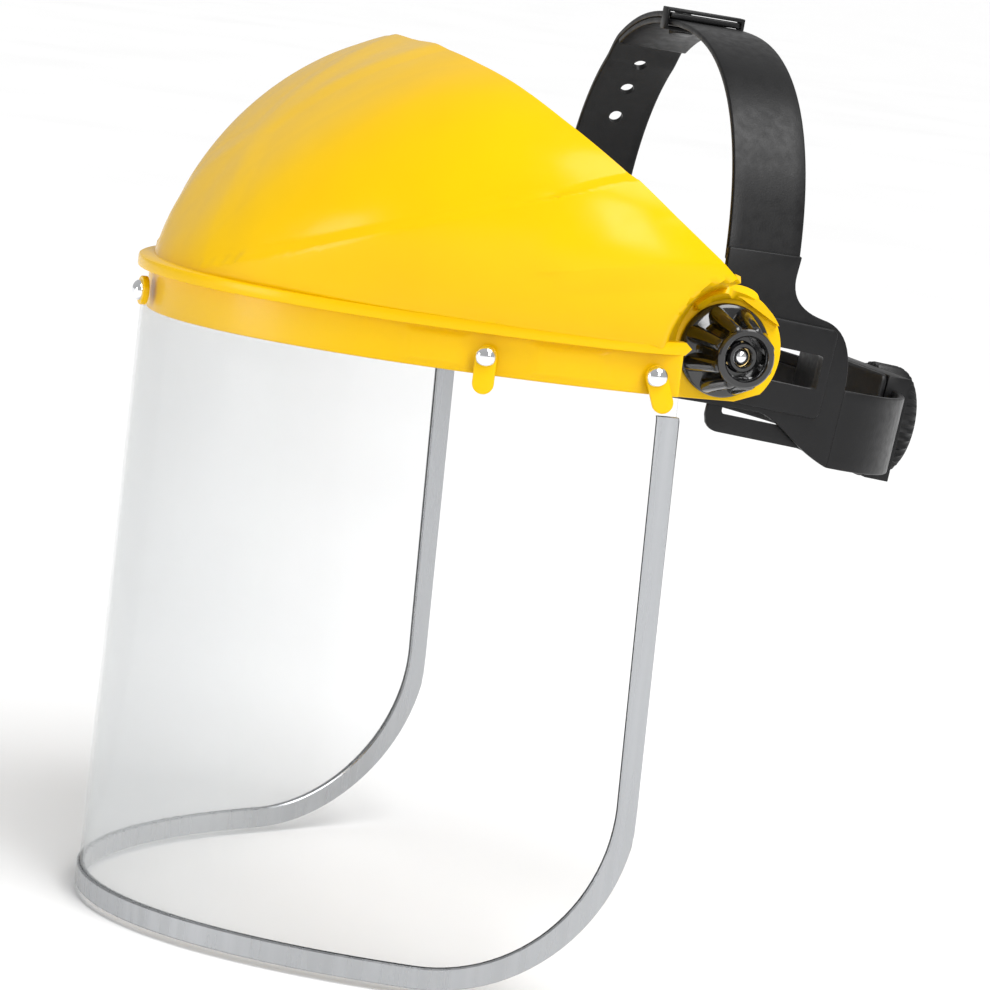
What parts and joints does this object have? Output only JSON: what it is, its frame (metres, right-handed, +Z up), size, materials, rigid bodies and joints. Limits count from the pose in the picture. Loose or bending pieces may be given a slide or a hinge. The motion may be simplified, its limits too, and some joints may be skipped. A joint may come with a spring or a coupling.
{
  "type": "face shield",
  "caption": "Clear curved face window under a moulded brow guard, hinged on an adjustable headgear with side knobs, crown strap and nape ratchet.",
  "frame": {"origin": "middle of the lift axis, halfway between the two side pivots, at the wearer's temples", "axes": "+Z up; the wearer looks along -Y; +X is the wearer's left"},
  "size_m": [0.2432, 0.2688, 0.3042],
  "materials": {
    "yellow_plastic": "glossy moulded",
    "clear_sheet": "clear polished sheet",
    "aluminium": "satin rolled edging",
    "chrome": "polished domes",
    "black_matte": "fine satin",
    "black_gloss": "glossy moulded",
    "sweatband_foam": "cloth-faced foam",
    "steel": "zinc-plated",
    "brass": "turned insert",
    "nylon": "natural nylon"
  },
  "bodies": {
    "headband": {"headband": "black_matte", "brow_pad": "sweatband_foam", "crown_strap_left": "black_matte", "crown_strap_right": "black_matte", "rear_strap_left": "black_matte", "rear_strap_right": "black_matte"},
    "crown_top": {"strap_keeper": "black_matte", "strap_peg": "black_matte"},
    "carriage": {"pivot_bolt_left": "steel", "pivot_bolt_right": "steel", "slide_block_left": "nylon", "slide_block_right": "nylon", "friction_washer_left": "nylon", "friction_washer_right": "nylon"},
    "visor": {"brow_guard": "yellow_plastic", "window": "clear_sheet", "window_edging": "aluminium", "stud_front": "chrome", "stud_spacer_front": "yellow_plastic", "stud_mid_left": "chrome", "stud_mid_right": "chrome", "stud_rear_left": "chrome", "stud_rear_right": "chrome"},
    "knob_left": {"knob_left": "black_gloss", "knob_nut_left": "brass"},
    "knob_right": {"knob_right": "black_gloss", "knob_nut_right": "brass"},
    "tab_mid_left": {"tab_mid_left": "yellow_plastic"},
    "tab_rear_left": {"tab_rear_left": "yellow_plastic"},
    "tab_mid_right": {"tab_mid_right": "yellow_plastic"},
    "tab_rear_right": {"tab_rear_right": "yellow_plastic"},
    "ratchet": {"ratchet_housing": "black_matte", "ratchet_cover": "black_matte", "ratchet_click": "nylon"},
    "size_knob": {"size_knob": "black_matte", "ratchet_pinion": "nylon", "size_knob_screw": "steel"},
    "rack_left": {"rack_left": "black_matte"},
    "rack_right": {"rack_right": "black_matte"},
    "tail_left": {"tail_left_strap": "black_matte"},
    "tail_right": {"tail_right_strap": "black_matte"}
  },
  "joints": [
    {"name": "reach_slide", "type": "slide", "parent": "headband", "child": "carriage", "axis": [0, 0.9936, -0.1132], "range_m": [0, 0.025]},
    {"name": "lift_hinge", "type": "hinge", "parent": "carriage", "child": "visor", "pos_m": [0, 0, 0], "axis": [-1, 0, 0], "range_deg": [0, 90]},
    {"name": "knob_left_turn", "type": "hinge", "parent": "carriage", "child": "knob_left", "pos_m": [0.09, 0, 0], "axis": [1, 0, 0], "range_deg": [0, 180]},
    {"name": "knob_right_turn", "type": "hinge", "parent": "carriage", "child": "knob_right", "pos_m": [-0.09, 0, 0], "axis": [-1, 0, 0], "range_deg": [0, 180]},
    {"name": "tab_mid_left_turn", "type": "hinge", "parent": "visor", "child": "tab_mid_left", "pos_m": [0.09862, -0.07827, -0.0071], "axis": [0.9125, -0.409, 0], "range_deg": [-90, 90]},
    {"name": "tab_rear_left_turn", "type": "hinge", "parent": "visor", "child": "tab_rear_left", "pos_m": [0.11351, -0.02947, -0.0071], "axis": [0.9884, -0.1521, 0], "range_deg": [-90, 70]},
    {"name": "tab_mid_right_turn", "type": "hinge", "parent": "visor", "child": "tab_mid_right", "pos_m": [-0.09862, -0.07827, -0.0071], "axis": [0.9125, 0.409, 0], "range_deg": [-90, 90]},
    {"name": "tab_rear_right_turn", "type": "hinge", "parent": "visor", "child": "tab_rear_right", "pos_m": [-0.11351, -0.02947, -0.0071], "axis": [0.9884, 0.1521, 0], "range_deg": [-90, 70]},
    {"name": "crown_height", "type": "slide", "parent": "headband", "child": "crown_top", "axis": [0, 0.0454, 0.999], "range_m": [-0.018, 0.006], "deforming": ["crown_strap_left", "crown_strap_right"]},
    {"name": "ratchet_shift", "type": "slide", "parent": "headband", "child": "ratchet", "axis": [0, -0.9936, 0.1132], "range_m": [-0.0012, 0.0048], "deforming": ["rear_strap_left", "rear_strap_right"]},
    {"name": "size_knob_turn", "type": "hinge", "parent": "ratchet", "child": "size_knob", "pos_m": [0, 0.08744, -0.02758], "axis": [0, -0.9936, 0.1132], "range_deg": [-20, 80]},
    {"name": "rack_left_slide", "type": "slide", "parent": "ratchet", "child": "rack_left", "axis": [-1, 0, 0], "range_m": [-0.0017, 0.0065]},
    {"name": "rack_right_slide", "type": "slide", "parent": "ratchet", "child": "rack_right", "axis": [1, 0, 0], "range_m": [-0.0017, 0.0065]},
    {"name": "tail_left_slide", "type": "slide", "parent": "rack_left", "child": "tail_left", "axis": [0.6247, -0.7759, 0.0884], "range_m": [-0.0026, 0.0104]},
    {"name": "tail_right_slide", "type": "slide", "parent": "rack_right", "child": "tail_right", "axis": [-0.6247, -0.7759, 0.0884], "range_m": [-0.0026, 0.0104]}
  ],
  "couplings": [
    {"joint": "size_knob_turn", "follows": "ratchet_shift", "rad_per_m": 289.86},
    {"joint": "rack_left_slide", "follows": "ratchet_shift", "ratio": 1.3333},
    {"joint": "rack_right_slide", "follows": "ratchet_shift", "ratio": 1.3333},
    {"joint": "tail_left_slide", "follows": "ratchet_shift", "ratio": 2.1344},
    {"joint": "tail_right_slide", "follows": "ratchet_shift", "ratio": 2.1344}
  ]
}
